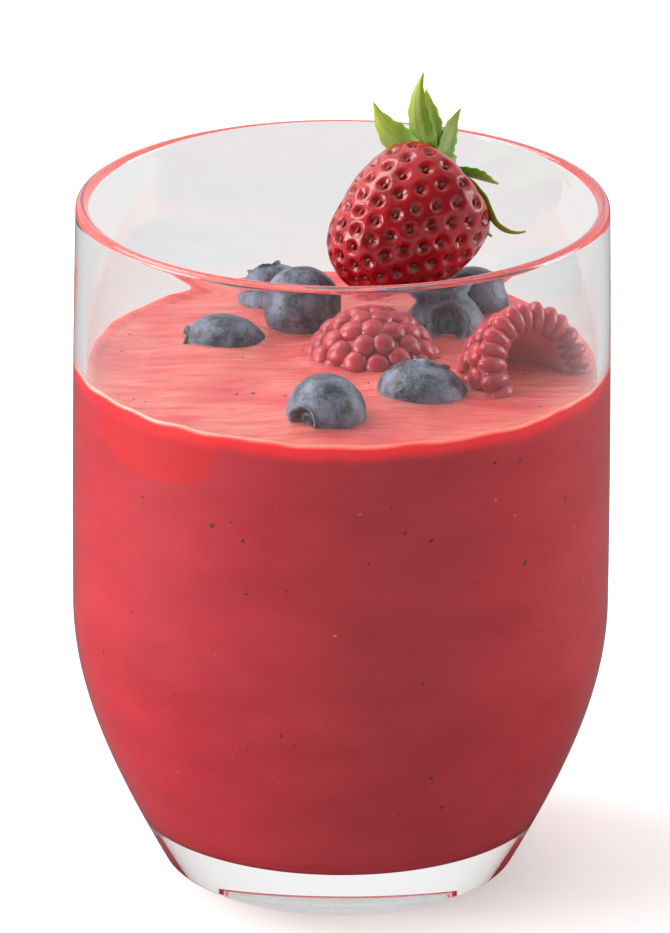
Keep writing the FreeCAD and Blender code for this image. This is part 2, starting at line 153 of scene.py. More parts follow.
# ---- the studio
ROOM_DARK_SIDE = (0.30, -0.95, 0.10)
ROOM_BRIGHTNESS = (1.2, 0.20)   # behind the object, and on the dark side
ROOM_THROUGH_GLASS = 1.0
FLOOR_THROUGH_GLASS = 0.86
FLOOR_GIVES = 0.62          # how much light the floor sends back to the drink
FLOOR_MIRRORED = 0.12       # how bright the floor is in a reflection
FLOOR_LIFT = 0.22
GLASS_BOUNCES = 32          # light runs down inside the thin wall


# ---- meshes

def skin(rings):
    """Vertices and faces of a surface through rings of points; one point is a pole."""
    points = np.concatenate(rings)
    starts = np.cumsum([0] + [len(ring) for ring in rings])
    faces = []
    for row in range(len(rings) - 1):
        here, there = starts[row], starts[row + 1]
        a, b = len(rings[row]), len(rings[row + 1])
        for k in range(max(a, b)):
            k1 = (k + 1) % max(a, b)
            if a == 1:
                faces.append((here, there + k, there + k1))
            elif b == 1:
                faces.append((here + k, there, here + k1))
            else:
                faces.append((here + k, there + k, there + k1, here + k1))
    return points, faces


def circle(radius, height, columns):
    """A ring about Z, or one point where the radius is nothing."""
    if np.max(np.abs(radius)) < 1e-6:
        return np.array([[0.0, 0.0, float(np.mean(height))]])
    turn = np.arange(columns) * 2 * math.pi / columns
    flat = np.zeros(columns)
    return np.stack([radius * np.cos(turn), radius * np.sin(turn), flat + height], axis=1)


def turned(profile, columns):
    return skin([circle(r, z, columns) for r, z in profile])


def add_piece(name, points, faces, material, slot, **attributes):
    """A smooth closed piece that rides with the glass."""
    mesh = bpy.data.meshes.new(name)
    whole_faces = [tuple(int(i) for i in face) for face in faces]
    mesh.from_pydata((np.asarray(points) * MM).tolist(), [], whole_faces)
    work = bmesh.new()
    work.from_mesh(mesh)
    bmesh.ops.recalc_face_normals(work, faces=work.faces)
    work.to_mesh(mesh)
    work.free()
    mesh.shade_smooth()
    mesh.materials.append(material)
    for key, values in attributes.items():
        mesh.attributes.new(key, "FLOAT", "POINT").data.foreach_set("value", values)
    piece = bpy.data.objects.new(name, mesh)
    bpy.context.scene.collection.objects.link(piece)
    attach(piece, "root")
    return piece


def aimed(points, direction):
    """Points with their +Z turned to face a direction."""
    turn = Vector((0, 0, 1)).rotation_difference(Vector(direction).normalized()).to_matrix()
    return np.asarray(points) @ np.array(turn).T


def box_centre(node):
    low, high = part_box(node)
    return (np.array(low) + np.array(high)) / 2 / MM


def seat_shift(points, node):
    """How far to move points so that their box sits in the middle of a node's box."""
    return box_centre(node) - (points.min(axis=0) + points.max(axis=0)) / 2


def rough(points, size, seed):
    """Smooth noise from about -1 to 1 at points, with bumps of about that size."""
    chance = np.random.default_rng(seed)
    order = chance.permutation(256)
    slopes = chance.normal(size=(256, 3))
    slopes /= np.linalg.norm(slopes, axis=1)[:, None]
    place = np.asarray(points) / size
    cell = np.floor(place).astype(int)
    part = place - cell
    ease = part ** 3 * (part * (part * 6 - 15) + 10)
    total = np.zeros(len(place))
    for corner in np.ndindex(2, 2, 2):
        index = (cell + corner) & 255
        pick = order[(order[(order[index[:, 0]] + index[:, 1]) & 255] + index[:, 2]) & 255]
        lean = ((part - corner) * slopes[pick]).sum(axis=1)
        total += lean * np.where(np.array(corner) == 1, ease, 1 - ease).prod(axis=1)
    return total * 1.5


def smoothstep(low, high, value):
    share = np.clip((value - low) / (high - low), 0.0, 1.0)
    return share * share * (3 - 2 * share)


def bezier(poles, t):
    """A point of a Bezier curve, from its poles."""
    poles = np.asarray(poles, dtype=float)
    while len(poles) > 1:
        poles = poles[:-1] * (1 - t) + poles[1:] * t
    return poles[0]


def b_spline(poles, t):
    """A point of a clamped cubic B-spline, t from 0 to 1."""
    poles = np.asarray(poles, dtype=float)
    spans = len(poles) - 3
    knots = [0.0] * 3 + [i / spans for i in range(spans + 1)] + [1.0] * 3
    span = min(int(t * spans), spans - 1) + 3
    d = [poles[span - 3 + i] for i in range(4)]
    for r in range(1, 4):
        for j in range(3, r - 1, -1):
            low, high = knots[span - 3 + j], knots[span + 1 + j - r]
            a = (t - low) / (high - low)
            d[j] = d[j - 1] * (1 - a) + d[j] * a
    return d[3]


# ---- materials

def linear(red, green, blue):
    """A colour from its 0 to 255 display values."""
    values = [c / 255 for c in (red, green, blue)]
    return tuple(c / 12.92 if c <= 0.04045 else ((c + 0.055) / 1.055) ** 2.4 for c in values) + (1.0,)


class Look:
    """A material of nodes round one Principled shader."""

    def __init__(self, name, **settings):
        self.material = bpy.data.materials.new(name)
        self.material.use_nodes = True
        self.tree = self.material.node_tree
        self.shader = self.tree.nodes["Principled BSDF"]
        self.output = self.tree.nodes["Material Output"]
        for key, value in settings.items():
            self.shader.inputs[key.replace("_", " ")].default_value = value

    def add(self, kind, **settings):
        node = self.tree.nodes.new("ShaderNode" + kind)
        for key, value in settings.items():
            setattr(node, key, value)
        return node

    def link(self, source, target):
        self.tree.links.new(source, target)

    def feed(self, source, socket):
        self.link(source, self.shader.inputs[socket])

    def attribute(self, name):
        return self.add("Attribute", attribute_name=name).outputs["Fac"]

    def noise(self, size, detail=3.0, stretch=(1, 1, 1), roughness=0.55):
        """Noise with features of a size in millimetres, drawn out along an axis."""
        place = self.add("TexCoord")
        mapping = self.add("Mapping")
        mapping.inputs["Scale"].default_value = [1 / (size * MM * s) for s in stretch]
        texture = self.add("TexNoise")
        texture.inputs["Scale"].default_value = 1.0
        texture.inputs["Detail"].default_value = detail
        texture.inputs["Roughness"].default_value = roughness
        self.link(place.outputs["Object"], mapping.inputs["Vector"])
        self.link(mapping.outputs["Vector"], texture.inputs["Vector"])
        return texture.outputs["Fac"]

    def ranged(self, source, low, high, to_low=0.0, to_high=1.0):
        node = self.add("MapRange")
        self.link(source, node.inputs["Value"])
        ends = {"From Min": low, "From Max": high, "To Min": to_low, "To Max": to_high}
        for key, value in ends.items():
            node.inputs[key].default_value = value
        return node.outputs["Result"]

    def blend(self, share, first, second, mode="MIX"):
        """A colour mixed from two, each a colour or an output."""
        node = self.add("Mix", data_type="RGBA", blend_type=mode)
        for socket, value in ((node.inputs[0], share), (node.inputs[6], first), (node.inputs[7], second)):
            if isinstance(value, bpy.types.NodeSocket):
                self.link(value, socket)
            else:
                socket.default_value = value
        return node.outputs[2]

    def sum(self, first, second, how="ADD"):
        node = self.add("Math", operation=how)
        for socket, value in zip(node.inputs, (first, second)):
            if isinstance(value, bpy.types.NodeSocket):
                self.link(value, socket)
            else:
                socket.default_value = value
        return node.outputs[0]

    def bump(self, source, height, strength=1.0):
        """Relief of a height in millimetres where the source goes from 0 to 1."""
        node = self.add("Bump")
        node.inputs["Distance"].default_value = height * MM
        node.inputs["Strength"].default_value = strength
        self.link(source, node.inputs["Height"])
        self.feed(node.outputs["Normal"], "Normal")


def glass_look():
    """Clear glass that lets light and shadow straight through to the drink."""
    look = Look("clear_glass", Roughness=0.0, IOR=1.5)
    look.shader.inputs["Base Color"].default_value = (0.985, 0.99, 0.99, 1)
    look.shader.inputs["Transmission Weight"].default_value = 1.0
    waver = look.noise(22.0, detail=1.0)
    look.bump(waver, 0.05)
    clear = look.add("BsdfTransparent")
    clear.inputs["Color"].default_value = (0.95, 0.955, 0.955, 1)
    path = look.add("LightPath")
    either = look.sum(path.outputs["Is Shadow Ray"], path.outputs["Is Diffuse Ray"], "MAXIMUM")
    mix = look.add("MixShader")
    look.link(either, mix.inputs[0])
    look.link(look.shader.outputs[0], mix.inputs[1])
    look.link(clear.outputs[0], mix.inputs[2])
    look.link(mix.outputs[0], look.output.inputs["Surface"])
    return look.material


def smoothie_look():
    look = Look("berry_smoothie", Roughness=0.34, Subsurface_Weight=1.0, Subsurface_Scale=3.2 * MM)
    look.shader.inputs["Subsurface Radius"].default_value = (1.0, 0.16, 0.16)
    # Emission colour of the painted glow in the deeper red strip below the drink's rim; the glow stands in
    # for light carried down the glass wall.
    look.shader.inputs["Emission Color"].default_value = (1.0, 0.03, 0.04, 1)
    cloud = look.noise(13.0, detail=5.0, stretch=(1.6, 1.6, 0.7))
    side = look.blend(look.ranged(cloud, 0.3, 0.7), linear(190, 26, 44), linear(210, 44, 62))
    # Painted glow: the strip below the drink's rim, read here, is painted a deeper red.
    glow = look.attribute("band")
    # Painted reflection gap: joined with the painted glow, so this patch takes the same deeper red.
    band = look.sum(glow, look.attribute("wet"), "MAXIMUM")
    side = look.blend(band, side, linear(214, 18, 32))
    streaks = look.noise(1.4, detail=6.0, stretch=(9, 1, 1), roughness=0.65)
    top = look.blend(look.ranged(streaks, 0.32, 0.68), linear(222, 72, 72), linear(244, 142, 126))
    patches = look.noise(8.0, detail=4.0, stretch=(1.8, 1, 1))
    top = look.blend(look.ranged(patches, 0.45, 0.66, 0, 0.75), top, linear(222, 56, 72))
    colour = look.blend(look.attribute("open_top"), side, top)
    pulp = look.noise(0.7, detail=4.0)
    colour = look.blend(look.ranged(pulp, 0.62, 0.8, 0, 0.4), colour, linear(140, 24, 38))
    # Painted highlight: a thin pale ring where the drink climbs the wall and catches the light.
    colour = look.blend(look.attribute("edge"), colour, linear(255, 190, 168))
    look.feed(colour, "Base Color")
    # Painted glow: the strip emits light, though the drink is no lamp.
    look.feed(look.sum(glow, 0.30, "MULTIPLY"), "Emission Strength")
    ripple = look.noise(0.8, detail=5.0, stretch=(6, 1, 1))
    look.bump(look.sum(ripple, look.attribute("open_top"), "MULTIPLY"), 0.4)
    return look.material


def strawberry_look():
    look = Look("strawberry_skin", Roughness=0.2, Specular_IOR_Level=0.4,
                Subsurface_Weight=0.25, Subsurface_Scale=1.2 * MM)
    look.shader.inputs["Subsurface Radius"].default_value = (1.0, 0.15, 0.15)
    look.shader.inputs["Coat Weight"].default_value = 0.2
    look.shader.inputs["Coat Roughness"].default_value = 0.12
    pit = look.attribute("pit")
    blotch = look.noise(5.0, detail=3.0)
    flesh = look.blend(look.ranged(blotch, 0.35, 0.7), linear(150, 4, 18), linear(190, 14, 28))
    # Painted shade: the inside of each pit is darkened toward a deep red.
    colour = look.blend(pit, flesh, linear(104, 2, 12))
    look.feed(colour, "Base Color")
    look.bump(look.noise(0.8, detail=3.0), 0.06)
    return look.material


def seed_look():
    look = Look("strawberry_seeds", Roughness=0.4)
    tone = look.noise(2.0, detail=2.0)
    look.feed(look.blend(tone, linear(110, 10, 16), linear(150, 40, 28)), "Base Color")
    return look.material


def leaf_look():
    look = Look("strawberry_leaf", Roughness=0.5, Subsurface_Weight=0.5, Subsurface_Scale=0.6 * MM)
    look.shader.inputs["Subsurface Radius"].default_value = (0.6, 1.0, 0.2)
    along = look.attribute("along")
    mottle = look.noise(2.2, detail=4.0)
    green = look.blend(mottle, linear(96, 134, 40), linear(140, 170, 56))
    colour = look.blend(look.ranged(along, 0.35, 1.0, 0, 0.8), green, linear(186, 192, 48))
    vein = look.attribute("vein")
    colour = look.blend(vein, colour, linear(196, 206, 130))
    look.feed(colour, "Base Color")
    look.bump(look.noise(0.5, detail=3.0), 0.08)
    return look.material


def blueberry_look():
    look = Look("blueberry_skin", Roughness=0.36, Subsurface_Weight=0.08, Subsurface_Scale=0.8 * MM)
    cloud = look.noise(3.4, detail=6.0, roughness=0.66)
    grain = look.noise(0.32, detail=3.0, roughness=0.7)
    both = look.sum(cloud, look.ranged(grain, 0, 1, -0.16, 0.16))
    bloom = look.ranged(both, 0.38, 0.62)
    colour = look.blend(bloom, linear(28, 27, 38), linear(122, 129, 152))
    scuff = look.noise(1.0, detail=3.0, stretch=(1, 3, 1))
    colour = look.blend(look.ranged(scuff, 0.6, 0.7, 0, 0.75), colour, linear(34, 30, 42))
    scar = look.noise(0.8, detail=3.0)
    inner = look.blend(look.ranged(scar, 0.52, 0.7), linear(26, 20, 24), linear(104, 74, 52))
    colour = look.blend(look.attribute("dish"), colour, inner)
    colour = look.blend(look.attribute("lip"), colour, linear(104, 106, 122))
    look.feed(colour, "Base Color")
    look.feed(look.ranged(bloom, 0, 1, 0.28, 0.5), "Roughness")
    look.bump(look.sum(look.noise(0.5, detail=4.0), scuff), 0.12)
    return look.material


def raspberry_look():
    look = Look("raspberry_skin", Roughness=0.3, Subsurface_Weight=0.8, Subsurface_Scale=1.4 * MM)
    look.shader.inputs["Subsurface Radius"].default_value = (1.0, 0.25, 0.25)
    look.shader.inputs["Sheen Weight"].default_value = 0.25
    look.shader.inputs["Sheen Roughness"].default_value = 0.4
    tone = look.attribute("tone")
    inside = look.attribute("inside")
    mottle = look.noise(1.4, detail=3.0)
    skin_tone = look.blend(tone, linear(170, 18, 38), linear(198, 38, 58))
    skin_tone = look.blend(look.ranged(mottle, 0.5, 0.8, 0, 0.35), skin_tone, linear(222, 96, 108))
    colour = look.blend(inside, skin_tone, linear(212, 78, 88))
    look.feed(colour, "Base Color")
    look.bump(look.noise(0.5, detail=3.0), 0.05)
    return look.material


def plain_look(name, first, second, size, roughness):
    """Small bits whose colour wanders between two."""
    look = Look(name, Roughness=roughness)
    look.feed(look.blend(look.noise(size, detail=2.0), first, second), "Base Color")
    return look.material


# ---- the glass and the drink

def lower_curve(t, inset=0.0):
    """The outside from the foot to the belly, moved in square to itself."""
    lean = math.radians(FLARE_ANGLE)
    foot = np.array([FOOT_RADIUS, 0.0])
    meet = np.array([BELLY_RADIUS, (BELLY_RADIUS - FOOT_RADIUS) / math.tan(lean)])
    belly = np.array([BELLY_RADIUS, BELLY_HEIGHT])
    poles = [foot, foot + (meet - foot) * STRAIGHT_SHARE, belly + (meet - belly) * UPRIGHT_SHARE, belly]
    step = 1e-4
    along = bezier(poles, min(1.0, t + step)) - bezier(poles, max(0.0, t - step))
    along /= np.hypot(*along)
    return bezier(poles, t) + np.array([-along[1], along[0]]) * inset, along


def upper_curve(t, inset=0.0):
    top = GLASS_HEIGHT - WALL / 2
    return bezier([(BELLY_RADIUS - inset, BELLY_HEIGHT),
                   (BELLY_RADIUS - inset, (BELLY_HEIGHT + top) / 2),
                   (RIM_RADIUS - inset, top)], t)


def inside_profile(inset):
    """The inside from the floor's middle up to the belly, for a wall of that thickness."""
    floor = FLOOR_THICKNESS - (WALL - inset)
    corner = INNER_CORNER
    low, high = 0.0, 1.0
    for _ in range(50):
        middle = (low + high) / 2
        if lower_curve(middle, inset + corner)[0][1] < floor + corner:
            low = middle
        else:
            high = middle
    start = low
    centre, along = lower_curve(start, inset + corner)
    lean = math.atan2(-along[0], along[1])
    points = [(r, floor) for r in np.linspace(0, centre[0], 10)]
    for share in np.linspace(0, 1, 14)[1:]:
        turn = -math.pi / 2 + share * (math.pi / 2 + lean)
        points.append((centre[0] + corner * math.cos(turn), centre[1] + corner * math.sin(turn)))
    for t in np.linspace(start, 1, 30)[1:]:
        points.append(tuple(lower_curve(t, inset)[0]))
    return points


def glass_profile():
    points = [(r, 0.0) for r in np.linspace(0, FOOT_RADIUS - FOOT_EDGE * 1.2, 10)]
    lean = math.radians(FLARE_ANGLE)
    reach = FOOT_EDGE / math.tan((math.pi / 2 + lean) / 2)
    for share in np.linspace(0, 1, 8)[1:]:
        low = np.array([FOOT_RADIUS - reach, 0.0])
        corner = np.array([FOOT_RADIUS, 0.0])
        high = corner + reach * np.array([math.sin(lean), math.cos(lean)])
        points.append(tuple(bezier([low, corner, high], share)))
    skip = 0.03
    for t in np.linspace(skip, 1, 44):
        point = tuple(lower_curve(t)[0])
        if point[1] > points[-1][1] + 0.05:
            points.append(point)
    for t in np.linspace(0, 1, 40)[1:]:
        points.append(tuple(upper_curve(t)))
    top = GLASS_HEIGHT - WALL / 2
    for turn in np.linspace(0, math.pi, 16)[1:]:
        out, up = WALL / 2 * math.cos(turn), WALL / 2 * math.sin(turn)
        points.append((RIM_RADIUS - WALL / 2 + out, top + up))
    for t in np.linspace(1, 0, 40)[1:]:
        points.append(tuple(upper_curve(t, WALL)))
    points += inside_profile(WALL)[::-1][1:]
    return points


def make_glass():
    points, faces = turned(glass_profile(), GLASS_COLUMNS)
    piece = add_piece("tumbler", points, faces, glass_look(), "glass")
    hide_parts("glass")


def wall_radius(height):
    share = np.clip((height - BELLY_HEIGHT) / (GLASS_HEIGHT - WALL / 2 - BELLY_HEIGHT), 0, 1)
    return BELLY_RADIUS + (RIM_RADIUS - BELLY_RADIUS) * share ** 2 - WALL


def waterlines():
    """Centre and radius of the round that each piece of fruit cuts in the surface."""
    rounds = []
    for node in list(BLUEBERRIES) + list(RASPBERRIES):
        low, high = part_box(node)
        middle = box_centre(node)
        radius = (high[0] - low[0]) / 2 / MM
        sunk = min(0.95, abs(FILL_HEIGHT - middle[2]) / ((high[2] - low[2]) / 2 / MM))
        rounds.append((middle[0], middle[1], radius * math.sqrt(1 - sunk ** 2)))
    return rounds


def surface_height(x, y, rounds):
    """Height of the drink's uneven top."""
    away = np.hypot(x, y)
    wall = wall_radius(FILL_HEIGHT)
    flat = np.stack([x, y, np.zeros_like(x)], axis=1)
    streaked = flat / np.array([STREAK_ALONG / STREAK_ACROSS, 1, 1])
    swirl = rough(flat, 26.0, 3)
    streaked[:, 1] += swirl * 3.0
    height = FILL_HEIGHT + CROWN_RISE * (1 - (away / wall) ** 2)
    height += STREAK * rough(streaked, STREAK_ACROSS, 1)
    height += STREAK * 0.45 * rough(streaked, STREAK_ACROSS * 0.45, 2)
    height += 0.5 * rough(flat, 14.0, 4)
    near = np.min([np.maximum(0.0, np.hypot(x - cx, y - cy) - r) for cx, cy, r in rounds], axis=0)
    height += MOUND * np.exp(-near / MOUND_REACH)
    cling = smoothstep(wall - CLING_WIDTH, wall, away)
    edge = CLING_RISE + 0.45 * rough(flat, 7.0, 5)
    return height * (1 - cling) + (FILL_HEIGHT + edge) * cling


def wall_marks(points, edge_height):
    """Shares of three marks painted where the drink meets the wall: a deeper red patch for a gap in the
    glass's reflection, a deeper red strip of painted glow for light carried down the glass wall, and a
    thin pale painted highlight.
    """
    turn = np.degrees(np.arctan2(points[:, 0], -points[:, 1]))
    below = edge_height - points[:, 2]
    ragged = rough(points, 4.0, 8)
    from_middle = np.abs(turn + REFLECTION_GAP_TURN)
    lobe = REFLECTION_GAP_DROP * np.clip(1 - (from_middle / REFLECTION_GAP_HALF) ** 4, 0, 1) ** 0.4 + 0.5 * ragged
    # Painted reflection gap: a deeper red patch on the side where the glass's reflection of the bright
    # room breaks.
    wet = smoothstep(0.25, -0.25, below - lobe) * (from_middle < REFLECTION_GAP_HALF)
    # Painted glow: a deeper red strip just below the drink's rim, strongest at the front, standing in for
    # light carried down the glass wall.
    band = smoothstep(3.4, 1.4, below + 0.5 * ragged) * (0.55 + 0.45 * np.exp(-(turn / 55) ** 2))
    # Painted highlight: a thin pale ring where the drink climbs the wall and catches the light from above.
    painted_highlight = smoothstep(0.6, 0.25, below + 0.12 * ragged) * smoothstep(-0.6, 0.0, below)
    return wet, band, painted_highlight


def make_smoothie(rounds):
    columns = SMOOTHIE_COLUMNS
    profile = inside_profile(WALL - INTO_WALL)
    side = [circle(r, z, columns) for r, z in profile]
    top_share = (FILL_HEIGHT - BELLY_HEIGHT) / (GLASS_HEIGHT - WALL / 2 - BELLY_HEIGHT)
    fine_from = top_share * 0.66
    coarse = np.linspace(0, fine_from, 16)[1:]
    fine = np.linspace(fine_from, top_share, 44)[1:-1]
    for t in np.concatenate([coarse, fine]):
        r, z = upper_curve(t, WALL - INTO_WALL)
        side.append(circle(r, z, columns))
    wall = wall_radius(FILL_HEIGHT) + INTO_WALL
    rings = list(side)
    steps = np.concatenate([wall - np.linspace(0, 3.0, 12), np.linspace(wall - 3.4, 0, 104)])
    rings += [circle(radius, FILL_HEIGHT, columns) for radius in steps]
    points, faces = skin(rings)
    below = sum(len(ring) for ring in side)
    points[below:, 2] = surface_height(points[below:, 0], points[below:, 1], rounds)
    edge = points[below:below + columns, 2]
    level = np.full(len(points), FILL_HEIGHT)
    side_count = (len(side) - 1) * columns
    level[1:1 + side_count] = np.tile(edge, len(side) - 1)
    level[below:below + columns] = edge
    lifted = np.arange(len(points)) < below
    near = smoothstep(6.0, 0.0, level - points[:, 2]) * lifted
    points[:, 2] += near * (level - FILL_HEIGHT) * 0.9
    wet, band, painted_highlight = wall_marks(points, level)
    open_top = np.zeros(len(points))
    open_top[below + columns:] = 1.0
    on_side = 1 - open_top
    # Side attributes: the painted reflection gap, the painted glow and, under the name edge, the painted
    # highlight.
    piece = add_piece("smoothie_body", points, faces, smoothie_look(), "smoothie",
                      open_top=open_top, wet=wet * on_side, band=band * on_side, edge=painted_highlight * on_side)
    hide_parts("smoothie")


def pebbles(places, sizes, columns=10, rows=6):
    """Many small rounded bits in one mesh: each has its centre, three half sizes and axes."""
    turns = np.linspace(-math.pi / 2, math.pi / 2, rows + 1)
    ball, ball_faces = skin([circle(math.cos(a) if 0 < i < rows else 0.0, math.sin(a), columns)
                             for i, a in enumerate(turns)])
    points, faces = [], []
    for place, (axes, half) in zip(places, sizes):
        start = sum(len(p) for p in points)
        points.append((ball * half) @ axes + place)
        faces += [tuple(i + start for i in face) for face in ball_faces]
    return np.concatenate(points), faces


def axes_for(outward, spin):
    """Rows: two axes along a surface, turned by spin, and the way out of it."""
    out = np.asarray(outward, dtype=float)
    out = out / np.linalg.norm(out)
    side = np.cross(out, (0.31, 0.22, 0.92))
    side /= np.linalg.norm(side)
    up = np.cross(out, side)
    return np.array([side * math.cos(spin) + up * math.sin(spin),
                     up * math.cos(spin) - side * math.sin(spin), out])


def make_specks(rounds):
    """Bits of dark skin and pale seeds held in the drink against the glass and on top."""
    chance = np.random.default_rng(SEED)
    kinds = [("dark_specks", 110, (0.50, 0.38), linear(70, 20, 32), linear(112, 34, 44)),
             ("pale_seeds", 150, (0.34, 0.16), linear(206, 92, 88), linear(232, 140, 124))]
    for name, count, (long, wide), first, second in kinds:
        places, sizes = [], []
        for _ in range(count):
            turn = chance.uniform(0, 2 * math.pi)
            size = chance.uniform(0.3, 1.0) ** 1.5
            if chance.random() < 0.75:
                height = chance.uniform(FLOOR_THICKNESS + 12, FILL_HEIGHT - 3)
                radius = side_radius(height) + INTO_WALL
                place = np.array([radius * math.cos(turn), radius * math.sin(turn), height])
                outward = (math.cos(turn), math.sin(turn), 0)
            else:
                radius = (wall_radius(FILL_HEIGHT) - 2) * math.sqrt(chance.random())
                flat = np.array([[radius * math.cos(turn), radius * math.sin(turn)]])
                place = np.array([*flat[0], surface_height(flat[:, 0], flat[:, 1], rounds)[0]])
                outward = (0.01, 0, 1)
            places.append(place)
            sizes.append((axes_for(outward, chance.uniform(0, math.pi)),
                          np.array([long * size, wide * size, 0.12])))
        points, faces = pebbles(places, sizes)
        add_piece(name, points, faces, plain_look(name, first, second, 1.0, 0.4), "smoothie")


def side_radius(height):
    """Inside radius of the glass at any height."""
    profile = inside_profile(WALL)
    heights = [z for _, z in profile]
    if height < BELLY_HEIGHT:
        return float(np.interp(height, heights[9:], [r for r, _ in profile][9:]))
    return float(wall_radius(height))


# ---- the fruit

def make_blueberry(name, look, seed):
    width, height, ring, aim = BLUEBERRIES[name]
    columns = 120
    turn = np.arange(columns) * 2 * math.pi / columns
    shoulder = math.acos((ring + 0.25) / (width / 2))
    lobe = np.abs(np.cos(LOBES * turn / 2 + seed)) ** 0.6
    ragged = 0.25 * np.sin(11 * turn + seed) + 0.2 * np.sin(17 * turn + 2 * seed)
    rings, lip, dish = [], [], []

    def put(radius, level, on_lip, in_dish):
        made = circle(radius, level, columns)
        rings.append(made)
        lip.extend([on_lip] * len(made))
        dish.extend([in_dish] * len(made))

    for i in range(45):
        a = -math.pi / 2 + (shoulder + math.pi / 2) * i / 44
        put(width / 2 * math.cos(a) if i else 0.0, height / 2 * math.sin(a), 0.0, 0.0)
    base = height / 2 * math.sin(shoulder)
    rise = LIP_HEIGHT * (0.25 + 0.75 * lobe) * (1 + 0.3 * ragged)
    flare = 1 + 0.10 * lobe + 0.03 * ragged
    put(ring * flare * 0.99, base + rise * 0.45, 0.7, 0.0)
    put(ring * flare * 1.02, base + rise * 0.85, 1.0, 0.0)
    put(ring * flare * 0.97, base + rise * 1.0, 1.0, 0.0)
    put(ring * flare * 0.88, base + rise * 0.9, 1.0, 0.3)
    put(ring * flare * 0.78, base + rise * 0.35, 0.4, 0.9)
    for share, drop, pale in ((0.68, 0.5, 0.0), (0.58, 1.1, 0.0), (0.47, 1.2, 0.0), (0.38, 0.95, 0.2),
                              (0.30, 0.95, 0.2), (0.2, 1.2, 0.0), (0.08, 1.3, 0.0)):
        put(ring * share * (1 + 0.08 * ragged), base - LIP_HEIGHT * drop, pale, 1.0 - pale)
    put(0.0, base - LIP_HEIGHT * 1.3, 0.0, 1.0)
    points, faces = skin(rings)
    outward = points / np.linalg.norm(points, axis=1)[:, None]
    uneven = 0.10 * rough(points, 4.0, seed) + 0.04 * rough(points, 1.2, seed + 3)
    points = points + outward * uneven[:, None]
    points = aimed(points, aim)
    points += seat_shift(points, name)
    piece = add_piece(name + "_fruit", points, faces, look, "blueberry", lip=lip, dish=dish)
    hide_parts(name)


def bead(centre, out, down, half, chance):
    """One drupelet: its middle, its axes (across, down the berry, out), half sizes and tone."""
    across = np.cross(out, down)
    return centre, np.array([across, down, out]), np.array(half), chance.random()


def bead_plan(width, length, seed):
    """Drupelets packed in rows, with long ones that wrap over the open rim."""
    reach = DRUPELET / 2 * DRUPELET_OVERLAP
    wide, deep = (width - DRUPELET) / 2, length - DRUPELET
    side = math.pi / 2 * math.hypot(width - DRUPELET, 2 * deep) / math.sqrt(8)
    rows = round(side / (DRUPELET * ROW_PITCH))
    around = round(math.pi * (width - DRUPELET) / (DRUPELET * BEAD_PITCH))
    chance = np.random.default_rng(seed)
    plan = []
    segments = round(2 * math.pi * wide / RIM_BEAD)
    for k in range(segments):
        turn = 2 * math.pi * (k + chance.uniform(-0.1, 0.1)) / segments
        out = np.array([math.cos(turn), math.sin(turn), 0.0])
        down = np.array([0.0, 0.0, -1.0])
        half = (RIM_BEAD * chance.uniform(0.56, 0.64), DRUPELET * 0.52, reach * chance.uniform(1.12, 1.22))
        plan.append(bead(out * (wide - 0.25) + down * DRUPELET * 0.5, out, down, half, chance))
    for row in range(1, rows + 1):
        lean = math.pi / 2 * row / rows
        radius = wide * math.cos(lean)
        count = max(1, round(around * radius / wide))
        gap = 2 * math.pi * max(radius, 0.6) / count
        for k in range(count):
            turn = 2 * math.pi * (k + 0.5 * (row % 2) + chance.uniform(-0.1, 0.1)) / count
            flat = np.array([math.cos(turn), math.sin(turn), 0.0])
            out = flat * math.cos(lean) - np.array([0, 0, math.sin(lean) + 1e-3])
            down = -flat * math.sin(lean) - np.array([0, 0, math.cos(lean)])
            foot = flat * radius - np.array([0, 0, DRUPELET / 2 + deep * math.sin(lean)])
            thick = BEAD_THICK * chance.uniform(0.92, 1.08)
            half = (min(gap * 0.62, DRUPELET * 0.66), DRUPELET * 0.62 * chance.uniform(0.94, 1.08), thick)
            plan.append(bead(foot + out * (reach - BEAD_THICK), out, down, half, chance))
    return plan


def core_rings(width, length):
    """Rings of the flesh under the beads, from the hollow's bottom, over the rim, to the tip."""
    wide, hollow = (width - DRUPELET) / 2, width * HOLLOW_SHARE / 2
    floor = -length + DRUPELET * 1.3
    rings = []
    for share in np.linspace(0, 1, 14):
        a = math.pi / 2 * share
        level = floor * (0.35 + 0.65 * math.cos(a))
        rings.append(circle(hollow * math.sin(a), level, CORE_COLUMNS))
    rings.append(circle(hollow + 0.8, -DRUPELET * 0.34, CORE_COLUMNS))
    rings.append(circle(wide, -DRUPELET * 0.2, CORE_COLUMNS))
    for share in np.linspace(0, 1, 14):
        a = math.pi / 2 * share
        radius = (wide + 0.95) * math.cos(a) if share < 1 else 0.0
        level = -DRUPELET / 2 - (length - DRUPELET + 0.9) * math.sin(a)
        rings.append(circle(radius, level, CORE_COLUMNS))
    return rings


def make_raspberry(name, look, seed):
    width, length, aim = RASPBERRIES[name]
    plan = bead_plan(width, length, seed)
    points, faces = pebbles([p[0] for p in plan], [(p[1], p[2]) for p in plan], columns=24, rows=16)
    tone = np.repeat([p[3] for p in plan], len(points) // len(plan))
    points = points + (0.05 * rough(points, 1.1, seed))[:, None]
    inside = np.zeros(len(points))
    core, core_faces = skin(core_rings(width, length))
    core[:, :2] *= (1 + 0.035 * rough(core, 1.8, seed + 5))[:, None]
    start = len(points)
    points = np.concatenate([points, core])
    faces = faces + [tuple(i + start for i in face) for face in core_faces]
    tone = np.concatenate([tone, np.full(len(core), 0.3)])
    inside = np.concatenate([inside, np.ones(len(core))])
    points = aimed(points, aim)
    points += seat_shift(points, name)
    piece = add_piece(name + "_fruit", points, faces, look, "raspberry", tone=tone, inside=inside)
    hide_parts(name)


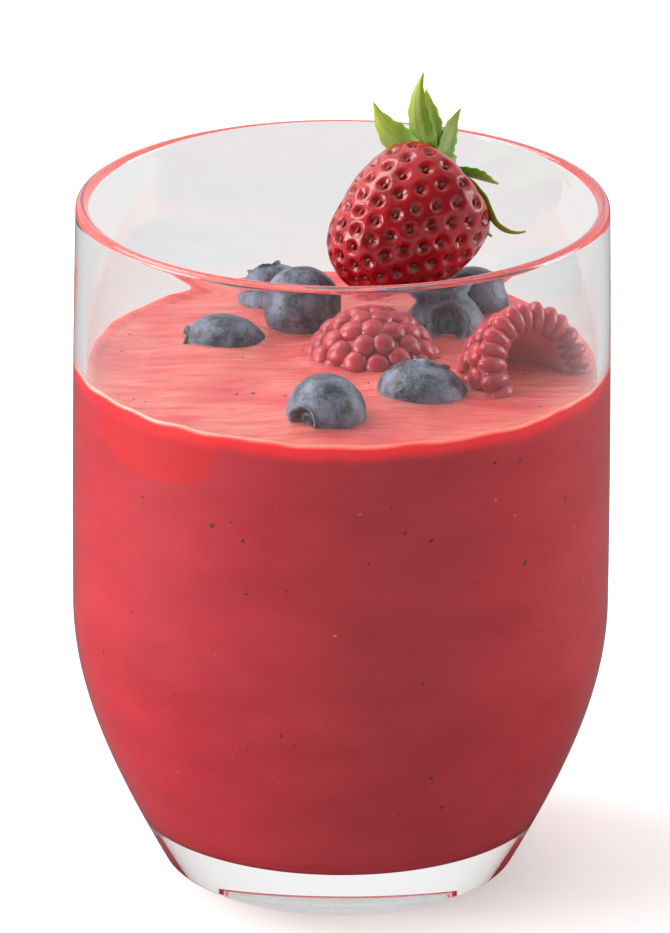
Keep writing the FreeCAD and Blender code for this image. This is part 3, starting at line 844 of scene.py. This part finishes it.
def strawberry_outline(count):
    half, base = STRAWBERRY_WIDTH / 2, -STRAWBERRY_LENGTH / 2
    poles = [(half * r, base + STRAWBERRY_LENGTH * t) for t, r in STRAWBERRY_POLES]
    fine = np.array([b_spline(poles, t) for t in np.linspace(0, 1, 400)])
    along = np.concatenate([[0], np.cumsum(np.hypot(*np.diff(fine, axis=0).T))])
    even = np.linspace(0, along[-1], count)
    outline = np.stack([np.interp(even, along, fine[:, 0]), np.interp(even, along, fine[:, 1])], axis=1)
    outline[0, 0] = outline[-1, 0] = 0.0
    return outline, along[-1]


def pit_places():
    """Centres of the pits on the skin, in rows set half a step apart, closer at the tip."""
    outline, total = strawberry_outline(OUTLINE_STEPS)
    last = OUTLINE_STEPS - 1
    chance = np.random.default_rng(SEED + 2)
    places, outward = [], []
    reach, row = 5.0, 0
    while reach < total - 0.8:
        share = reach / total
        spacing = PIT_SPACING * (1.0 - 0.28 * share)
        at = share * last
        low = int(at)
        r, z = outline[low] + (outline[min(low + 1, last)] - outline[low]) * (at - low)
        slope = outline[min(low + 3, last)] - outline[max(low - 3, 0)]
        slope /= np.hypot(*slope)
        count = max(1, round(2 * math.pi * r / (spacing * 1.14)))
        for k in range(count):
            turn = 2 * math.pi * (k + 0.5 * (row % 2) + chance.uniform(-0.07, 0.07)) / count
            places.append((r * math.cos(turn), r * math.sin(turn), z + chance.uniform(-0.15, 0.15)))
            outward.append((slope[1] * math.cos(turn), slope[1] * math.sin(turn), -slope[0]))
        reach += spacing * 0.92
        row += 1
    return np.array(places), np.array(outward)


def add_seeds(places, outward, shift):
    """A seed lying in each pit, its length along the berry."""
    chance = np.random.default_rng(SEED + 4)
    sizes = []
    for out in outward:
        axes = axes_for(out, 0.0)
        down = np.array([0, 0, 1.0]) - out * out[2]
        if np.linalg.norm(down) > 0.05:
            down /= np.linalg.norm(down)
            axes = np.array([np.cross(down, out), down, out])
        grow = chance.uniform(0.85, 1.15)
        sizes.append((axes, np.array([0.34, 0.56, 0.22]) * grow))
    seats = [place - out * (PIT_DEPTH * 0.82) for place, out in zip(places, outward)]
    seeds, seed_faces = pebbles(seats, sizes)
    add_piece("strawberry_seeds", aimed(seeds, STRAWBERRY_POINTS) + shift, seed_faces,
              seed_look(), "strawberry")


def make_strawberry():
    rows, columns = 190, 300
    outline, _ = strawberry_outline(rows)
    points, faces = skin([circle(r, z, columns) for r, z in outline])
    places, outward = pit_places()
    nearest = np.full(len(points), 99.0)
    for place in places:
        nearest = np.minimum(nearest, np.linalg.norm(points - place, axis=1))
    along = points / np.linalg.norm(points, axis=1)[:, None]
    sunk = 1 - smoothstep(0.15, PIT_RADIUS, nearest)
    relief = -PIT_DEPTH * sunk + 0.18 * rough(points, 5.0, 21) + 0.06 * rough(points, 1.3, 22)
    points = points + along * relief[:, None]
    # Mask for the painted shade inside the pits.
    pit = 1 - smoothstep(0.3, PIT_RADIUS * 0.8, nearest)
    shift_from = aimed(points, STRAWBERRY_POINTS)
    shift = seat_shift(shift_from, "strawberry")
    piece = add_piece("strawberry_fruit", shift_from + shift, faces, strawberry_look(), "strawberry",
                      pit=pit)
    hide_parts("strawberry")
    faces_way = np.array(CAP_FACES) / np.linalg.norm(CAP_FACES)
    reach = np.linalg.norm(shift_from, axis=1)
    cap_seat = shift + faces_way * reach[np.argmax(shift_from @ faces_way / reach)]
    add_seeds(places, outward, shift)
    return cap_seat


def leaf_grid(length, width, rise, droop, roll, curl, seed):
    """A cupped, toothed blade along +X, as a closed skin of its upper and lower faces."""
    stations, across = 26, 13
    where = np.array([CAP_RADIUS * 0.5, 0.0, 0.0])
    rings, along, vein = [], [], []
    for i in range(stations + 1):
        share = i / stations
        lean = math.radians(rise - droop * share + curl * max(0.0, share - 0.6) / 0.4)
        if i:
            where = where + np.array([math.cos(lean), 0, math.sin(lean)]) * length / stations
        half = width / 2 * (0.42 + 0.58 * math.sin(math.pi * min(1.0, share * 0.9 + 0.12)))
        half = half * (1 - share ** 5) + 0.10
        half *= 1 + 0.07 * math.sin(share * 34 + seed)
        rolled = math.radians(roll) * min(1.0, share * 2.5)
        normal = np.array([-math.sin(lean), 0, math.cos(lean)])
        side = np.array([0, math.cos(rolled), 0]) + normal * math.sin(rolled)
        up = normal * math.cos(rolled) - np.array([0, math.sin(rolled), 0])
        twist = 0.2 * math.sin(3 * share + seed)
        ring = []
        for sign in (1, -1):
            for j in range(across):
                v = (2 * j / (across - 1) - 1) * sign
                cup = half * 0.28 * v * v + 0.10 * math.sin(v * 9 + seed) * half * 0.3 + twist * v * half
                thick = sign * LEAF_THICKNESS / 2 * (1 - 0.8 * v * v)
                ring.append(where + side * v * half + up * (cup + thick))
                along.append(share)
                vein.append(max(0.0, 1 - abs(v) * 9) * 0.6 * (1 - share))
        rings.append(np.array(ring))
    points, faces = skin(rings)
    count = 2 * across
    faces.append(tuple(range(count))[::-1])
    faces.append(tuple(range(len(points) - count, len(points))))
    return points, faces, along, vein


def make_leaves(cap_seat):
    points, faces, along, vein = [], [], [], []
    total = 0
    for k, (turn, *shape) in enumerate(LEAVES):
        blade, blade_faces, a, v = leaf_grid(*shape, k)
        angle = math.radians(turn)
        spin = np.array([[math.cos(angle), -math.sin(angle), 0],
                         [math.sin(angle), math.cos(angle), 0],
                         [0, 0, 1]])
        points.append(blade @ spin.T + np.array([0, 0, CAP_THICKNESS / 2]))
        faces += [tuple(i + total for i in face) for face in blade_faces]
        total += len(blade)
        along += a
        vein += v
    disc = [(0.0, 0.0), (CAP_RADIUS * 0.8, 0.0), (CAP_RADIUS, 0.4), (CAP_RADIUS * 0.9, CAP_THICKNESS),
            (CAP_RADIUS * 0.5, CAP_THICKNESS * 1.15), (CAP_RADIUS * 0.36, CAP_THICKNESS * 1.5),
            (CAP_RADIUS * 0.3, CAP_THICKNESS * 2), (0.0, CAP_THICKNESS * 2)]
    cap, cap_faces = turned(disc, 40)
    points.append(cap)
    faces += [tuple(i + total for i in face) for face in cap_faces]
    along += [0.0] * len(cap)
    vein += [0.0] * len(cap)
    whole = aimed(np.concatenate(points), CAP_FACES) + cap_seat
    piece = add_piece("strawberry_cap", whole, faces, leaf_look(), "leaves", along=along, vein=vein)
    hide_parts("strawberry_leaves")


# ---- the studio

def make_floor():
    look = Look("studio_floor", Roughness=0.9)
    look.shader.inputs["Specular IOR Level"].default_value = 0.0
    pale = look.blend(look.noise(900.0, detail=1.0), (0.93, 0.93, 0.93, 1), (0.95, 0.95, 0.95, 1))
    given = look.add("LightPath").outputs["Is Diffuse Ray"]
    given = look.blend(given, pale, (FLOOR_GIVES,) * 3 + (1,))
    mirrored = look.add("LightPath").outputs["Is Glossy Ray"]
    look.feed(look.blend(mirrored, given, (FLOOR_MIRRORED,) * 3 + (1,)), "Base Color")
    look.shader.inputs["Emission Color"].default_value = (1, 1, 1, 1)
    seen = look.add("LightPath").outputs["Is Camera Ray"]
    look.feed(look.sum(seen, FLOOR_LIFT, "MULTIPLY"), "Emission Strength")
    behind = look.add("Emission")
    behind.inputs["Strength"].default_value = FLOOR_THROUGH_GLASS
    mix = look.add("MixShader")
    look.link(look.add("LightPath").outputs["Is Transmission Ray"], mix.inputs[0])
    look.link(look.shader.outputs[0], mix.inputs[1])
    look.link(behind.outputs[0], mix.inputs[2])
    look.link(mix.outputs[0], look.output.inputs["Surface"])
    mesh = bpy.data.meshes.new("studio_floor")
    reach = 9.0
    mesh.from_pydata([(-reach, -reach, 0), (reach, -reach, 0), (reach, reach, 0), (-reach, reach, 0)],
                     [], [(0, 1, 2, 3)])
    mesh.materials.append(look.material)
    floor = bpy.data.objects.new("studio_floor", mesh)
    bpy.context.scene.collection.objects.link(floor)


def make_world():
    """A white room, dimmer in front of the object than above and behind it."""
    world = bpy.data.worlds.new("studio")
    bpy.context.scene.world = world
    world.use_nodes = True
    nodes, links = world.node_tree.nodes, world.node_tree.links
    back = nodes["Background"]
    back.inputs["Color"].default_value = (1, 1, 1, 1)
    place = nodes.new("ShaderNodeTexCoord")
    facing = nodes.new("ShaderNodeVectorMath")
    facing.operation = "DOT_PRODUCT"
    facing.inputs[1].default_value = Vector(ROOM_DARK_SIDE).normalized()
    dim = nodes.new("ShaderNodeMapRange")
    for key, value in zip(("From Min", "From Max", "To Min", "To Max"), (-0.1, 0.6, *ROOM_BRIGHTNESS)):
        dim.inputs[key].default_value = value
    path = nodes.new("ShaderNodeLightPath")
    seen = nodes.new("ShaderNodeMix")
    through = nodes.new("ShaderNodeMix")
    seen.inputs["B"].default_value = 1.0
    through.inputs["B"].default_value = ROOM_THROUGH_GLASS
    links.new(place.outputs["Generated"], facing.inputs[0])
    links.new(facing.outputs["Value"], dim.inputs["Value"])
    links.new(dim.outputs["Result"], seen.inputs["A"])
    links.new(path.outputs["Is Camera Ray"], seen.inputs["Factor"])
    links.new(seen.outputs["Result"], through.inputs["A"])
    links.new(path.outputs["Is Transmission Ray"], through.inputs["Factor"])
    links.new(through.outputs["Result"], back.inputs["Strength"])


def add_light(name, place, size, power):
    lamp = bpy.data.lights.new(name, "AREA")
    lamp.shape = "DISK"
    lamp.size = size
    lamp.energy = power
    light = bpy.data.objects.new(name, lamp)
    light.location = place
    light.rotation_euler = (Vector(place) - Vector((0, 0, 0.07))).to_track_quat("Z", "Y").to_euler()
    bpy.context.scene.collection.objects.link(light)


def make_camera():
    camera = bpy.data.cameras.new("camera")
    camera.lens = CAMERA_LENS
    camera.clip_end = 50
    view = bpy.data.objects.new("camera", camera)
    raised = math.radians(CAMERA_RAISED)
    back = Vector((0, -math.cos(raised), math.sin(raised)))
    view.location = (Vector(CAMERA_AIM) + back * CAMERA_AWAY) * MM
    view.rotation_mode = "QUATERNION"
    roll = Quaternion((0, 0, 1), math.radians(CAMERA_ROLL))
    view.rotation_quaternion = back.to_track_quat("Z", "Y") @ roll
    bpy.context.scene.collection.objects.link(view)
    bpy.context.scene.camera = view


def main():
    scene = bpy.context.scene
    scene.view_settings.view_transform = "Standard"
    for kind in ("max_bounces", "glossy_bounces", "transmission_bounces"):
        setattr(scene.cycles, kind, GLASS_BOUNCES)
    make_glass()
    rounds = waterlines()
    make_smoothie(rounds)
    make_specks(rounds)
    berry = blueberry_look()
    for i, name in enumerate(BLUEBERRIES):
        make_blueberry(name, berry, i + 1)
    bramble = raspberry_look()
    for i, name in enumerate(RASPBERRIES):
        make_raspberry(name, bramble, SEED + i)
    cap_seat = make_strawberry()
    make_leaves(cap_seat)
    make_floor()
    make_world()
    add_light("key", (-0.85, 0.45, 1.05), 0.8, 10)
    add_light("left", (-1.1, -0.25, 0.40), 0.6, 9)
    add_light("right", (1.1, 0.25, 0.35), 0.6, 5)
    make_camera()


main()
